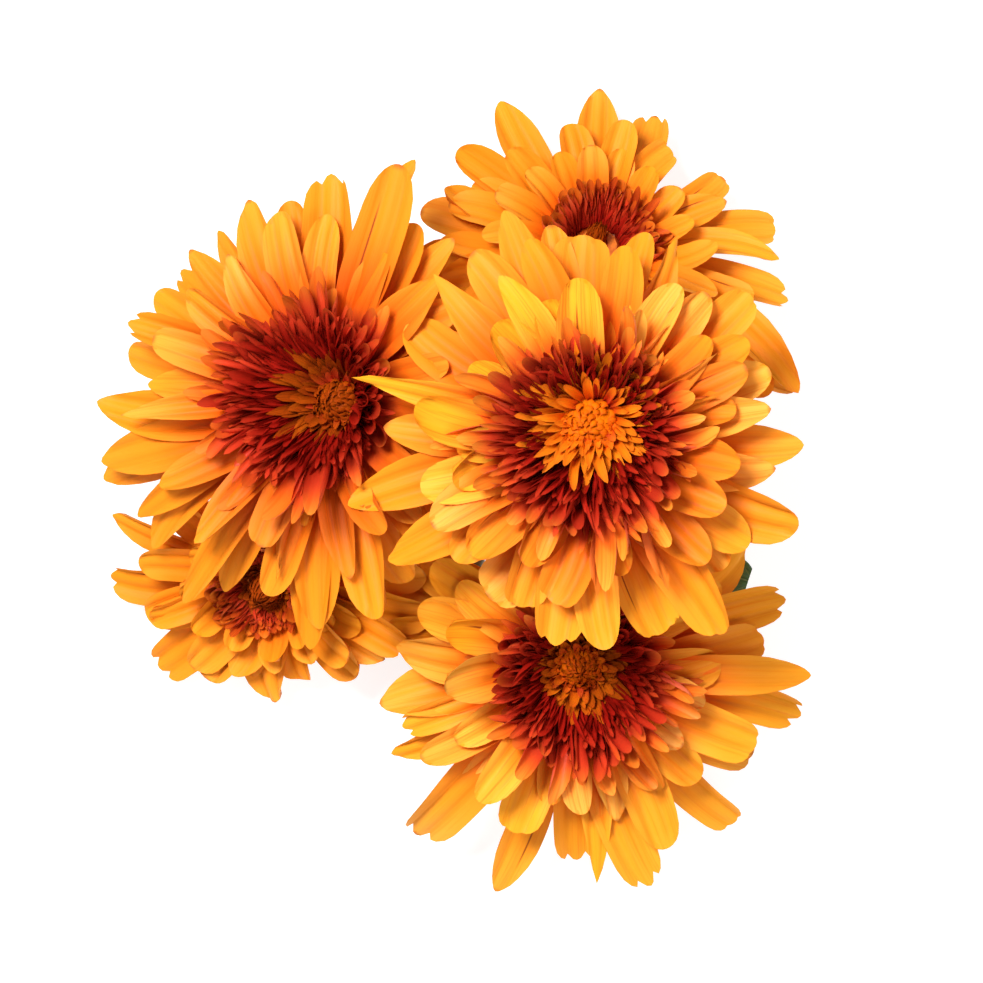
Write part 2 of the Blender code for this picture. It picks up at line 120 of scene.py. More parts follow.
HEADS = (
    Head(
        "front", 1.0, 0.98, 14.8, 0.2, 0.6, 0.12, 1.04, (0.8, 4.0, 0.0), (0.0, 1.0, 0.0), 0.0,
        ((-2, 34.6, 7.8, "point"), (20, 31, 6.6), (42, 34.7, 6.8, "blunt"),
         (67, 35.9, 6, "sharp", 0.8), (75, 34.7, 5.6), (92, 33, 9.6, "blunt"), (101, 35.3, 5.6),
         (111, 39.8, 6.8, "point"), (123, 35.9, 7.4), (148, 35.3, 7.8), (177, 34, 7, "point"),
         (211, 38.8, 7.6, "point"), (237, 31, 8.8, "blunt"), (260, 34.5, 9, "notch"),
         (290, 34, 8.8, "blunt"), (315, 30.4, 8), (337, 36.6, 8.8)),
        ((9, 29.4, 6.8, "point"), (31, 29.8, 7), (51, 30, 6.6), (80, 31.6, 6.8), (108, 33.8, 6.8),
         (134, 37.1, 7, "sharp"), (195.5, 41.3, 7.8, "point"), (222, 30, 7.2),
         (247, 30, 7.4, "blunt"), (274, 34.6, 7.2), (304, 38.5, 9, "blunt"), (326, 31, 7.4),
         (350.5, 30.4, 6.5, "point")),
        ((-11, 24.4, 6.8), (-2, 18.5, 4.6, "point", 1.8), (10, 23.7, 6.4),
         (17.5, 22, 4.6, "sharp", 1.6), (24, 27.5, 6.2), (34, 24.5, 4.4, "sharp", 1.6),
         (40, 25, 6.4), (55.8, 22.3, 4.4, "sharp", 2.0), (60, 28.5, 6.4),
         (69.8, 22, 5, "round", 1.2), (78, 25, 6.2), (95, 25.9, 7.6), (110, 23.4, 7.8, "cup"),
         (120, 30.2, 6, "point"), (131, 24.2, 8.6, "cup"), (150, 23, 6),
         (166, 40.2, 5.4, "sharp", -0.5), (170, 29.1, 9, "cup"), (184, 22, 5.6), (196, 29, 7.6),
         (198, 23.7, 7.8, "cup"), (209, 29.7, 7.6), (224.5, 27.4, 8.8, "cup"),
         (242, 23.4, 7.8, "cup"), (256.5, 27.6, 8.4, "blunt"), (272, 25.8, 5.4, "sharp", 2.2),
         (283, 23, 6), (296.5, 27.8, 6, "sharp", 2.4), (313, 27.7, 7), (332.5, 24.4, 7.2)),
    ),
    Head(
        "left", 4.0, 0.91, 14.3, 0.6, 0.4, 0.85, 0.80, (2.4, 0.2, -3.5), (2.6, -1.2, -3.5), 0.0,
        ((-10, 23, 6.2), (20, 25, 6.2), (52, 32.8, 5.8, "point"), (70.5, 41.3, 5.8, "point"),
         (102, 33, 6.4), (124.5, 33.4, 5.4, "point"), (140, 32.8, 5.8, "notch"), (167, 34.9, 5.8),
         (199.5, 40.6, 7.2, "point"), (220, 39, 6.2, "point"), (241, 36.9, 5.8, "point"),
         (265, 41.9, 6.8, "point"), (293, 33, 7), (306, 32, 7), (320, 29, 6.6)),
        ((4, 22, 6), (35, 26, 6.2), (63.5, 31.6, 6.8), (73.5, 39.5, 8.2), (90, 36.6, 8.8, "notch"),
         (113, 35.3, 7.4, "point"), (134, 33.9, 5.8, "point"), (149.5, 33.9, 6.2),
         (160, 35.9, 6, "notch"), (181, 39, 7.8, "point"), (195.5, 39.8, 8, "point"),
         (211.6, 37.8, 5.6, "point"), (234, 42.1, 5.2, "point"), (252, 34.4, 6.2),
         (267, 38.4, 7.8, "point"), (281.5, 37.3, 8.2), (306, 25, 6), (336, 22, 6)),
        ((15, 20, 5.2), (47, 26, 7, "point"), (68, 25, 6), (90.5, 29.8, 5.6), (106, 31.5, 6.8),
         (126, 29, 5.8, "point"), (144, 29.5, 6), (162, 31, 6.2), (176, 30.5, 6, "point"),
         (185, 35, 4.8, "sharp"), (207, 31.9, 6), (227, 33, 5.6, "point"),
         (245, 27.3, 6.4, "blunt"), (253.4, 31.8, 4.6, "sharp", 1.4), (258, 21.8, 6.8, "point"),
         (276, 30.2, 5.8, "point"), (292, 24, 5.6), (316, 21, 5.4), (345, 20, 5.4)),
    ),
    Head(
        "top", 1.0, 0.57, 6.2, 0.36, 0.2, 0.8, 0.34, (-0.5, 0.8, -4.0), (-0.5, 0.8, -4.0), 0.0,
        ((7.5, 30.2, 6, "blunt"), (31, 25, 5.4, "blunt"), (67, 25.4, 6.8, "notch"),
         (88.5, 27.9, 6.8, "point"), (121.8, 30.2, 7, "point"), (143.5, 28.8, 6.8),
         (157, 27.4, 6.6), (166.5, 30, 6.8), (182, 30, 7.6), (197, 31, 7.6), (213, 30, 7.2),
         (243, 24, 6.2), (272, 24, 6.2), (300, 26, 6.4), (321, 37, 8), (326, 40, 8.8),
         (346.3, 32.9, 6.6, "notch")),
        ((-2, 30.3, 5, "point"), (22, 23.4, 5.4, "point"), (54, 21.5, 5.8, "blunt"),
         (77, 22.9, 5.6), (101.5, 22.2, 5.8), (130, 22.5, 5.6), (152, 23.5, 5.8), (162, 25.8, 6.4),
         (176, 26, 6.8), (190, 26, 7), (208, 26, 6.8), (233, 21, 6), (258, 21, 6), (286, 22, 6),
         (313, 26, 6.2), (324.8, 40.5, 7, "point"), (342, 27.2, 6, "blunt")),
        ((4, 20, 5.2), (18, 17, 4.6), (37.5, 17.8, 5), (56, 17, 5), (75, 18, 5), (93, 18, 5),
         (111, 18, 4.8), (130, 18, 4.8), (150, 19.5, 5.4, "blunt"), (173, 19, 5), (200, 18, 5),
         (228, 17, 5), (258, 17, 5), (288, 18, 5), (316, 20, 5.2), (340, 21, 5.2)),
    ),
    Head(
        "lower", 6.0, 0.87, 13.2, -0.05, 0.2, 0.55, 0.74, (0.0, 0.6, -2.5), (0.0, 0.5, -2.5),
        0.0,
        ((17, 36.2, 7, "notch"), (35, 34, 6.4, "point"), (62, 24, 6.2), (90, 23, 6.2),
         (120, 24, 6.2), (148, 31.6, 8.4), (159, 32, 8.4), (170, 32, 8),
         (191.5, 33.6, 8.4, "point", 0.4), (206, 34.5, 5.4, "point"), (226.8, 39.4, 8.4, "notch"),
         (250.4, 40.8, 6.6, "point"), (270, 33, 7.6, "notch"), (288.4, 39.1, 7.6, "notch"),
         (314.5, 37.6, 6.4, "blunt"), (333, 33, 7, "blunt"), (346.5, 38.4, 6.8, "notch")),
        ((8, 31.1, 6.8, "blunt"), (30, 27, 6.2), (58, 22, 6), (88, 21, 6), (118, 21, 6),
         (146, 29.2, 7.6), (161, 28, 7.4), (174.5, 30.2, 8, "point"), (200, 31, 5.6, "notch"),
         (211, 30.4, 5.8), (223.5, 27, 6.6, "point"), (249, 30, 7.6, "blunt"),
         (275, 36.9, 5.2, "sharp"), (295.5, 34.2, 7.6), (316, 28, 6.8), (335, 32.6, 7.8, "blunt"),
         (357, 38.8, 6.6, "point")),
        ((2, 23.5, 7.2), (24, 20, 5.6), (52, 18, 5.2), (84, 17, 5), (118, 17, 5), (146, 23.9, 6.4),
         (166, 22.5, 8, "cup"), (189.5, 22.4, 8.6, "cup"), (212, 24, 5.6), (234, 28, 6.6),
         (258, 24, 5.4), (272, 25, 5.4), (284, 27, 5.4, "point"), (303, 25, 5.6), (322, 22, 5.2),
         (342, 22, 5.4)),
    ),
    Head(
        "rear", 0.5, 0.56, 5.0, 0.42, 0.0, 0.9, 0.5, (1.2, 1.2, -3.0), (1.2, 1.2, -3.0), -0.3,
        ((3, 26, 6.6), (21, 27, 7.4), (60, 13, 5), (100, 11, 5), (132, 17, 5.4),
         (157, 28.4, 4.8, "point"), (178, 26.8, 7.2, "notch"), (196, 21, 6),
         (218, 23.9, 7.6, "notch"), (237, 19.6, 7), (253, 16, 6), (272, 20.4, 7.6, "point"),
         (289, 17.5, 6), (313, 21.5, 6.4), (326, 23.2, 5.8, "point"), (334, 25.5, 6.4, "notch"),
         (349, 27.5, 7.2, "notch")),
        ((5, 11, 4.8), (40, 10, 4.8), (80, 10, 4.8), (116, 11, 4.8), (141, 21, 6), (172, 22, 6),
         (196, 21.5, 6.2), (228, 19.5, 6.2), (248, 17, 6, "point"), (273, 15.5, 5.4, "point"),
         (299, 15.5, 5.4, "point"), (316, 18.4, 6, "blunt"), (334, 17, 5.6)),
        ((10, 9, 4), (50, 8.5, 4), (90, 8.5, 4), (130, 9.5, 4), (160, 14, 4.6), (187, 15, 5),
         (214, 15, 5), (242, 13, 4.8), (270, 12, 4.6), (298, 12, 4.6), (326, 13, 4.8),
         (350, 11, 4.2)),
    ),
)


class Ring(NamedTuple):
    """A ring of like florets."""
    level: float
    count: int
    radius: float
    share: float  # how much the radius follows the inner rays' reach, 0 to 1
    width: float
    roll: tuple  # angle that the sheet is rolled through: base, middle, tip
    curl: float  # how far the tip turns up, in radians


SPOON_RINGS = (
    Ring(2.6, 14, 22.8, 0.7, 5.4, (4.8, 3.8, 3.4), 0.7),
    Ring(2.8, 17, 21.4, 0.65, 5.0, (5.2, 4.6, 3.8), 1.0),
    Ring(3.0, 20, 20.0, 0.6, 4.8, (5.4, 5.0, 4.2), 1.1),
)
QUILL_RINGS = (
    Ring(3.15, 30, 18.8, 0.5, 3.8, (5.6, 5.4, 4.8), 0.7),
    Ring(3.3, 33, 17.6, 0.5, 3.5, (5.6, 5.4, 5.0), 0.7),
    Ring(3.45, 34, 16.5, 0.45, 3.3, (5.7, 5.5, 5.0), 0.6),
    Ring(3.6, 35, 15.5, 0.4, 3.2, (5.8, 5.6, 5.2), 0.6),
    Ring(3.75, 35, 14.5, 0.4, 3.1, (5.8, 5.6, 5.2), 0.6),
    Ring(3.9, 34, 13.5, 0.35, 3.0, (5.8, 5.6, 5.2), 0.6),
    Ring(4.05, 32, 12.5, 0.3, 2.9, (5.8, 5.6, 5.2), 0.6),
)
STAR_RINGS = (
    Ring(4.4, 11, 12.6, 0.2, 2.6, (4.4, 3.6, 2.8), 0.4),
    Ring(4.55, 13, 11.8, 0.1, 2.6, (3.8, 3.0, 2.3), 0.3),
    Ring(4.65, 14, 11.0, 0.1, 2.6, (3.6, 2.8, 2.2), 0.3),
    Ring(4.8, 16, 9.9, 0.0, 2.5, (3.6, 2.8, 2.2), 0.4),
    Ring(5.0, 16, 8.8, 0.0, 2.5, (3.8, 3.0, 2.2), 0.5),
    Ring(5.25, 16, 7.7, 0.0, 2.4, (3.8, 3.2, 2.4), 0.6),
    Ring(5.5, 14, 6.6, 0.0, 2.3, (4.2, 3.6, 2.6), 0.7),
)
FULL_REACH = 31.0  # inner rays of this reach leave a ring at its full radius
MOST_STRETCH = 1.15  # a ring's radius over its full one, at most
EYE_LEVEL = 4.3  # florets above this level belong to the eye
EYE_SHIFT_START = 3.2  # level where the florets begin to shift with the eye
EYE_SHIFT_SPAN = 1.4
RAY_WIDENING = 1.12  # a ray's width, flat, over the width that shows from above
SHORTEST_RAY = 11.0  # radius of a ray's tip, at least
STEEPEST = 1.1  # pitch of a floret, at most
LIT_AZIMUTH = 2.4  # direction of the key light about a head, in radians, that the painted lit-side paling follows
PATH_ROUNDS = 3  # in which a path settles on its bowl
TIP_ROUNDS = 5  # in which a ray's length settles on where its tip is seen
LOWEST = 0.05  # height of the lowest points above the floor
FIRST_SEED = 11  # of the first head's random draws


# ---------------- small helpers

def unit(vectors):
    return vectors / np.linalg.norm(vectors, axis=-1, keepdims=True)


def smoothstep(value, low, high):
    share = np.clip((value - low) / (high - low), 0.0, 1.0)
    return share * share * (3.0 - 2.0 * share)


def column(values):
    """Values of the florets, ready to meet those of the points along each."""
    return np.asarray(values, float).reshape(-1, 1)


def block(values):
    """Values of the florets, ready to meet those of each one's grid of points."""
    return np.asarray(values, float).reshape(-1, 1, 1)


def around(count, phase=0.0):
    """Evenly spaced azimuths."""
    return math.tau * (np.arange(count) + phase) / count


def quads(grid):
    """The four corners of each cell of a grid."""
    corners = [grid[:-1, :-1], grid[1:, :-1], grid[1:, 1:], grid[:-1, 1:]]
    return np.stack(corners, axis=2).reshape(-1, 4, *grid.shape[2:])


def node_points(name):
    """The distinct vertices of a CAD node, in millimetres."""
    points = np.array([vertex.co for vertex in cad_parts[name].data.vertices]) / MM
    return np.unique(points.round(3), axis=0)


class HeadFrame:
    """Place of a head: its origin, lean and matrix, read from its turned nodes."""

    def __init__(self, name):
        base = node_points(f"{name}_involucre").mean(0)
        axis = unit(node_points(f"{name}_eye").mean(0) - base)
        top = (node_points(f"{name}_receptacle") @ axis).max()
        self.origin = base + axis * (top - RECEPTACLE_TOP - base @ axis)
        self.lean = math.acos(axis[2])
        self.lean_azimuth = math.atan2(axis[1], axis[0])
        turn = Vector((0.0, 0.0, 1.0)).rotation_difference(Vector(axis)).to_matrix()
        self.turn = np.array(turn)

    def place(self, points):
        return points @ self.turn.T + self.origin


# ---------------- growing florets

def bowl(level):
    """Collar radius, collar height, rise and run at each floret's level."""
    levels = np.arange(len(BOWLS))
    return [column(np.interp(level, levels, BOWLS[:, part])) for part in range(4)]


def bowl_pitch(level, droop, radius):
    """Slope angle of the bowl, outward."""
    collar, _, rise, run = bowl(level)
    beyond = np.maximum(0.0, radius - DROOP_START) / DROOP_SPAN
    fall = 2.0 * droop * beyond / DROOP_SPAN
    return np.arctan(rise / run * np.exp((collar - radius) / run) - fall)


def in_head_plane(site, azimuth, reach, height):
    """Turn tips seen from above into angles and radii about the head's axis."""
    across = np.radians(azimuth) - site.lean_azimuth
    along = (reach * np.cos(across) - height * math.sin(site.lean)) / math.cos(site.lean)
    aside = reach * np.sin(across)
    return np.arctan2(aside, along) + site.lean_azimuth, np.hypot(along, aside)


def bowl_paths(level, droop, length, lift, curl, steepest=STEEPEST, reaching=False):
    """Radius and height along each floret: over its bowl, then turning up by curl.

    A reaching floret's tip comes to its length; others lose reach as they curl.
    """
    collar, height, _, _ = bowl(level)
    radius = collar + (column(length) - collar) * ALONG
    for _ in range(PATH_ROUNDS):
        flat = np.minimum(bowl_pitch(level, droop, radius) + column(lift), STEEPEST)
        pitch = np.minimum(flat + column(curl) * ALONG ** 3, steepest)
        whole = np.cos(pitch if reaching else flat)
        step = (column(length) - collar) / (whole.sum(1) - whole[:, 0])[:, None]
        out = np.cumsum(np.cos(pitch), axis=1) - np.cos(pitch[:, :1])
        up = np.cumsum(np.sin(pitch), axis=1) - np.sin(pitch[:, :1])
        radius = collar + out * step
    return radius, height + up * step


def sample(path, share):
    """Values of a path of points at shares of its length, for each floret."""
    place = share * (SAMPLES - 1)
    index = np.clip(place.astype(int), 0, SAMPLES - 2)
    part = (place - index)[..., None]
    row = np.arange(len(path))[:, None, None]
    return path[row, index] * (1.0 - part) + path[row, index + 1] * part


def grow(radius, height, azimuth, width, tips, roll, rows, columns, claw=0.3, belly=0.62,
         swing=0.0, twist=0.0, rib=0.0, ruffle=0.0, thickness=0.3, phase=0.0):
    """Florets as closed sheets along their paths: points, places on them, sheet data.

    A sheet's front and back meet in one sharp rim. Its points come as a grid of the
    front, then the back without its rim.
    """
    turn = column(azimuth) + column(swing) * ALONG ** 2
    centre = np.stack([radius * np.cos(turn), radius * np.sin(turn), height], axis=-1)
    tangent = unit(np.gradient(centre, axis=1))
    side = np.stack([-np.sin(turn), np.cos(turn), np.zeros_like(turn)], axis=-1)
    side = unit(side - (side * tangent).sum(-1, keepdims=True) * tangent)
    normal = np.cross(tangent, side)
    spin = (column(twist) * ALONG ** 1.5)[..., None]
    side, normal = (side * np.cos(spin) + normal * np.sin(spin),
                    normal * np.cos(spin) - side * np.sin(spin))

    forms = np.array([TIPS[tip] for tip in tips])
    taper, square, end_width, notch = (block(part) for part in forms.T)
    across = np.array(columns)[None, None, :]
    rim = np.abs(across)
    outline = 1.0 - taper * (1.0 - (1.0 - rim ** square) ** (1.0 / square))
    furrow = np.exp(-((rim - FURROW) / FURROW_WIDTH) ** 2)
    outline = outline - notch * furrow
    share = np.linspace(0.0, 1.0, rows + 1)[None, :, None] * outline

    claw, belly = block(claw), block(belly)
    grown = claw + (1.0 - claw) * np.sin(np.clip(share / belly, 0, 1) * math.pi / 2) ** 1.1
    narrowed = 1.0 - (1.0 - end_width) * np.clip((share - belly) / (1 - belly), 0, 1) ** 2
    half = block(width) / 2.0 * grown * narrowed
    base_roll, middle_roll, tip_roll = (block(part) for part in roll)
    rolled = base_roll + (middle_roll - base_roll) * smoothstep(share, 0.1, 0.55)
    rolled = rolled + (tip_roll - middle_roll) * smoothstep(share, 0.6, 1.0)
    angle = across * rolled / 2.0
    bend = half / (rolled / 2.0)

    ribbed = smoothstep(share, 0.08, 0.3) * (1.0 - smoothstep(share, 0.93, 1.0))
    offset = -block(rib) * half * ribbed * furrow
    wave = np.sin(RUFFLE_WAVE * share + block(phase) + RUFFLE_SLANT * across)
    offset = offset + block(ruffle) * half * rim ** 2.5 * wave * share
    sideways = (bend - offset) * np.sin(angle)
    outward = bend - (bend - offset) * np.cos(angle)
    sheet = sample(centre, share)
    sheet = sheet + sample(side, share) * sideways[..., None]
    sheet = sheet + sample(normal, share) * outward[..., None]

    facing = unit(np.cross(np.gradient(sheet, axis=1), np.gradient(sheet, axis=2)))
    body = block(thickness) / 2.0 * (1.0 - rim ** 4) * (1.0 - 0.5 * share ** 2)
    front = sheet + facing * body[..., None]
    front[:, 0], front[:, -1] = sheet[:, 0], sheet[:, -1]
    back = sheet - facing * body[..., None]
    return closed_sheets(front, back, share, across, np.hypot(sheet[..., 0], sheet[..., 1]))


def closed_sheets(front, back, share, across, third):
    """Sheets that end in one rim: points, places on them and how they are divided."""
    def joined(outer, inner):
        grids = (outer, inner[:, 1:-1, 1:-1])
        return np.concatenate([grid.reshape(len(grid), -1, 3) for grid in grids], axis=1)

    places = np.stack(np.broadcast_arrays(share, across, third, front[..., 0])[:3], axis=-1)
    return joined(front, back), joined(places, places), (front.shape[1] - 1, across.ravel())


def sheet_faces(rows, across):
    """Corner indices of one floret's faces, front then back."""
    front = np.arange((rows + 1) * len(across)).reshape(rows + 1, -1)
    back = front.copy()
    inside = back[1:-1, 1:-1]
    inside[:] = front.size + np.arange(inside.size).reshape(inside.shape)
    return np.concatenate([quads(front), quads(back)[:, ::-1]])


def sheet_corners(rows, across):
    """Place of each face corner on a floret's flat pattern, 0 to 1 both ways."""
    down = np.linspace(0.0, 1.0, rows + 1)
    wide = (across + 1.0) / 2.0
    flat = quads(np.stack(np.meshgrid(down, wide, indexing="ij"), axis=-1))
    return np.concatenate([flat, flat[:, ::-1]])


# The bake map: its panels' columns for each row, and the share of a panel's width
# and height that stays free at each end.
PANELS_ABREAST = 4
MARGIN_ACROSS = 0.06
MARGIN_ALONG = 0.02


class Batch(NamedTuple):
    """Florets of one form, placed in the frame."""
    points: np.ndarray  # florets, points, xyz
    places: np.ndarray  # florets, points, (along, across, radius)
    form: tuple  # rows, and the places of the points across
    tint: np.ndarray  # florets, three values from 0 to 1


def make_mesh(name, batches):
    """One mesh of all the florets, with their places, tints and a bake map.

    In the map, the front and the back of each floret have a panel of their own.
    """
    florets = sum(len(batch.points) for batch in batches)
    panel_rows = math.ceil(math.sqrt(florets / 2.0))
    panel_columns = panel_rows * PANELS_ABREAST
    parts = []
    start = panel = 0
    for batch in batches:
        count, size, _ = batch.points.shape
        pair = sheet_faces(*batch.form)
        corners = sheet_corners(*batch.form)
        reverse = np.repeat((0.0, 1.0), len(pair) // 2)
        offsets = start + size * np.arange(count)[:, None, None]
        panels = (panel + 2 * np.arange(count)[:, None] + reverse.astype(int))[..., None]
        left = panels % panel_columns + MARGIN_ACROSS + (1 - 2 * MARGIN_ACROSS) * corners[..., 1]
        low = panels // panel_columns + MARGIN_ALONG + (1 - 2 * MARGIN_ALONG) * corners[..., 0]
        parts.append((
            batch.points.reshape(-1, 3), (pair + offsets).reshape(-1, 4),
            np.tile(reverse, count), batch.places.reshape(-1, 3),
            np.repeat(batch.tint, size, axis=0),
            np.stack([left / panel_columns, low / panel_rows], axis=-1).reshape(-1, 2),
        ))
        start += count * size
        panel += 2 * count
    points, faces, back, places, tints, corners = map(np.concatenate, zip(*parts))
    mesh = smooth_mesh(name, points, faces)
    mark_rims(mesh, back)
    add_layer(mesh, "place", "FLOAT_VECTOR", "POINT", places)
    add_layer(mesh, "tint", "FLOAT_VECTOR", "POINT", tints)
    add_layer(mesh, "reverse", "FLOAT", "FACE", back)
    mesh.uv_layers.new(name="OFBake").data.foreach_set("uv", corners.ravel())
    return mesh


def smooth_mesh(name, points, faces):
    """A mesh in metres of points in millimetres and faces with four corners."""
    mesh = bpy.data.meshes.new(name)
    mesh.from_pydata((points * MM).tolist(), [], faces.tolist())
    mesh.validate()
    mesh.shade_smooth()
    return mesh


def mark_rims(mesh, back):
    """Mark the edges where a front face meets a back face as sharp."""
    edges = np.empty(len(mesh.loops), np.int32)
    mesh.loops.foreach_get("edge_index", edges)
    sides = np.bincount(edges, weights=np.repeat(back, 4), minlength=len(mesh.edges))
    add_layer(mesh, "sharp_edge", "BOOLEAN", "EDGE", sides == 1.0)


def add_layer(mesh, title, kind, domain, values):
    layer = mesh.attributes.new(title, kind, domain)
    layer.data.foreach_set("vector" if kind == "FLOAT_VECTOR" else "value", values.ravel())


def dress_node(name, material):
    """Give a CAD node that stays in sight its finish."""
    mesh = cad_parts[name].data
    mesh.materials.clear()
    mesh.materials.append(material)


def add_piece(mesh, material, slot, *nodes):
    """Show a mesh as a piece, which stands for the CAD nodes that are named."""
    piece = bpy.data.objects.new(mesh.name, mesh)
    bpy.context.scene.collection.objects.link(piece)
    mesh.materials.append(material)
    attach(piece, "root")
    if nodes:
        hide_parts(*nodes)


# ---------------- heads

def tints(rng, head, count):
    """Two random values for each floret, and how amber its head's eye is."""
    return np.column_stack([rng.random(count), rng.random(count), np.full(count, head.eye_amber)])


def placed(site, head, grown, tint, shift=(0.0, 0.0, 0.0)):
    """A batch in the row frame; its radii become shares of the head's dark radius."""
    points, places, form = grown
    places[..., 2] /= head.dark_radius
    return Batch(site.place(points + shift), places, form, tint)


def ray_batch(site, head, rng, rays, base_level, lift, curl, painted_lit_side_paling):
    """The listed rays of one tier, and their azimuths and radii about the axis."""
    count = len(rays)
    *values, kinds, twist = zip(*(Ray(*ray) for ray in rays))
    azimuth, reach, width = np.array(values, float)
    cupped = np.array(kinds) == "cup"
    level = base_level + 0.3 * (np.arange(count) % 2)
    lifts = lift + rng.normal(0.0, 0.06, count)
    curls = curl + rng.normal(0.0, 0.22, count) + 0.3 * cupped
    height = np.zeros(count)
    for _ in range(TIP_ROUNDS):
        angle, length = in_head_plane(site, azimuth, reach, height)
        length = np.maximum(length, SHORTEST_RAY)
        radius, heights = bowl_paths(level, head.droop, length, lifts, curls, reaching=True)
        height = heights[:, -1]
    swing = rng.normal(0.0, 0.07, count)
    open_roll = rng.uniform(0.7, 1.5, count) + 0.8 * cupped
    grown = grow(
        radius, heights, angle - swing, width * RAY_WIDENING, kinds,
        (2.8, open_roll, open_roll + rng.uniform(0.1, 0.6, count) + 0.3 * cupped),
        rows=20, columns=RAY_COLUMNS, claw=0.22 + 0.1 * cupped,
        belly=rng.uniform(0.5, 0.6, count) + 0.22 * cupped, swing=swing,
        twist=twist + rng.normal(0.0, 0.22, count), rib=rng.uniform(0.16, 0.32, count),
        ruffle=rng.uniform(0.03, 0.1, count), thickness=0.34,
        phase=rng.uniform(0.0, math.tau, count),
    )
    tint = tints(rng, head, count)
    # Painted light: amber shifts with the ray's side toward the key light; a positive paling makes
    # rays there less amber, a negative one more amber.
    painted_lit_shift = painted_lit_side_paling * np.cos(angle - LIT_AZIMUTH)
    tint[:, 2] = np.clip(head.amber - painted_lit_shift + rng.normal(0.0, 0.1, count), -0.3, 1.0)
    return placed(site, head, grown, tint), angle, length


def ring_batch(site, head, rng, ring, reach_at, phase, form):
    """A ring of like florets whose length partly follows the rays around it."""
    count = ring.count
    azimuth = around(count, phase) + rng.normal(0.0, 0.17 * math.tau / count, count)
    follow = np.minimum(MOST_STRETCH, reach_at(azimuth) / FULL_REACH)
    spread = head.eye_size if ring.level > EYE_LEVEL else head.spread
    length = ring.radius * spread * (1.0 - ring.share + ring.share * follow)
    length = length * rng.normal(1.0, 0.07, count)
    level = ring.level + rng.uniform(-0.1, 0.1, count)
    curl = ring.curl + rng.normal(0.0, form.curling, count)
    lift = head.lift + rng.normal(0.0, 0.12, count)
    radius, height = bowl_paths(level, head.droop, length, lift, curl, form.steepest)
    swing = rng.normal(0.0, form.swing, count)
    roll = [part * rng.uniform(0.88, 1.08, count) for part in ring.roll]
    tips = rng.choice(form.tips, count)
    grown = grow(
        radius, height, azimuth - swing, ring.width * rng.uniform(0.8, 1.15, count), tips, roll,
        swing=swing, twist=1.8 * rng.normal(0.0, form.swing, count),
        phase=rng.uniform(0.0, math.tau, count), **form.sheet,
    )
    with_eye = np.clip((ring.level - EYE_SHIFT_START) / EYE_SHIFT_SPAN, 0.0, 1.0)
    return placed(site, head, grown, tints(rng, head, count), with_eye * np.array(head.eye))


class Form(NamedTuple):
    """What the florets of several rings have in common."""
    tips: tuple  # kinds of tip to draw from
    swing: float  # spread of the florets' sideways bends
    curling: float  # spread of their curls
    steepest: float  # pitch of a floret, at most
    sheet: dict  # what grow takes


SPOON_FORM = Form(("cup", "point", "point"), 0.1, 0.45, 1.25, dict(
    rows=15, columns=SPOON_COLUMNS, claw=0.34, belly=0.74, rib=0.05, ruffle=0.09))
QUILL_FORM = Form(("quill", "quill", "point"), 0.16, 0.4, 1.25, dict(
    rows=8, columns=QUILL_COLUMNS, claw=0.5, belly=0.66, ruffle=0.05, thickness=0.22))
STAR_FORM = Form(("point", "point", "sharp"), 0.09, 0.25, STEEPEST, dict(
    rows=9, columns=QUILL_COLUMNS, claw=0.45, belly=0.55, ruffle=0.03, thickness=0.22))

DISC_RADIUS = 4.7
DISC_EDGE = 11.2  # height of the disc's rim above the head's origin
DISC_RISE = 2.0
DISC_COUNT = 70
BUD_LENGTH = 4.6
BUD_WIDTH = 2.4
CUSHION_COUNT = 14
CUSHION_DEPTH = 2.7  # below the tips of the disc florets
CUSHION_MARGIN = 1.2  # how far it runs out past the disc
CUSHION_FALL = 3.0  # from its middle to its rim


def disc_batch(site, head, rng):
    """Closed disc florets, packed in a spiral over a low dome and leaning inward."""
    order = np.arange(DISC_COUNT) + 0.5
    azimuth = order * GOLDEN_ANGLE + rng.normal(0.0, 0.1, DISC_COUNT)
    share = np.sqrt(order / DISC_COUNT)
    slope = share * 0.9
    inward = (0.7 + 0.8 * share) * rng.normal(1.0, 0.1, DISC_COUNT)
    lean = column(slope) - 1.5 * ALONG ** 1.5 * column(inward)
    step = column(BUD_LENGTH * rng.uniform(0.85, 1.15, DISC_COUNT)) / SAMPLES
    radius = column(DISC_RADIUS * share - 0.4 * share) + np.cumsum(np.sin(lean), 1) * step
    rise = DISC_EDGE - BUD_LENGTH + DISC_RISE * (1.0 - share ** 2)
    height = column(rise) + np.cumsum(np.cos(lean), 1) * step
    width = BUD_WIDTH * (0.75 + 0.35 * share) * rng.uniform(0.85, 1.15, DISC_COUNT)
    grown = grow(
        np.maximum(radius, 0.05), height, azimuth, width, ("closed",),
        (3.6, 3.0, 2.4), rows=8, columns=QUILL_COLUMNS, claw=0.8, belly=0.5, thickness=0.2,
        swing=rng.normal(0.0, 0.1, DISC_COUNT),
    )
    grown[0][..., :2] *= head.eye_size
    return placed(site, head, grown, tints(rng, head, DISC_COUNT), head.disc)


def cushion_batch(site, head, rng):
    """Unopened florets that close the disc between the others, as a low dome."""
    along = np.linspace(0.02, 1.0, SAMPLES)[None, :] * np.ones((CUSHION_COUNT, 1))
    radius = (DISC_RADIUS + CUSHION_MARGIN) * along
    height = DISC_EDGE - CUSHION_DEPTH + DISC_RISE * (1.0 - along ** 2)
    height = height - CUSHION_FALL * along ** 4
    width = 1.7 * math.tau * DISC_RADIUS / CUSHION_COUNT
    grown = grow(radius, height, around(CUSHION_COUNT), width, ("blunt",), (0.6, 0.6, 0.6),
                 rows=8, columns=BUD_COLUMNS, claw=0.2, belly=0.9, thickness=0.2)
    grown[0][..., :2] *= head.eye_size
    return placed(site, head, grown, tints(rng, head, CUSHION_COUNT), head.disc)


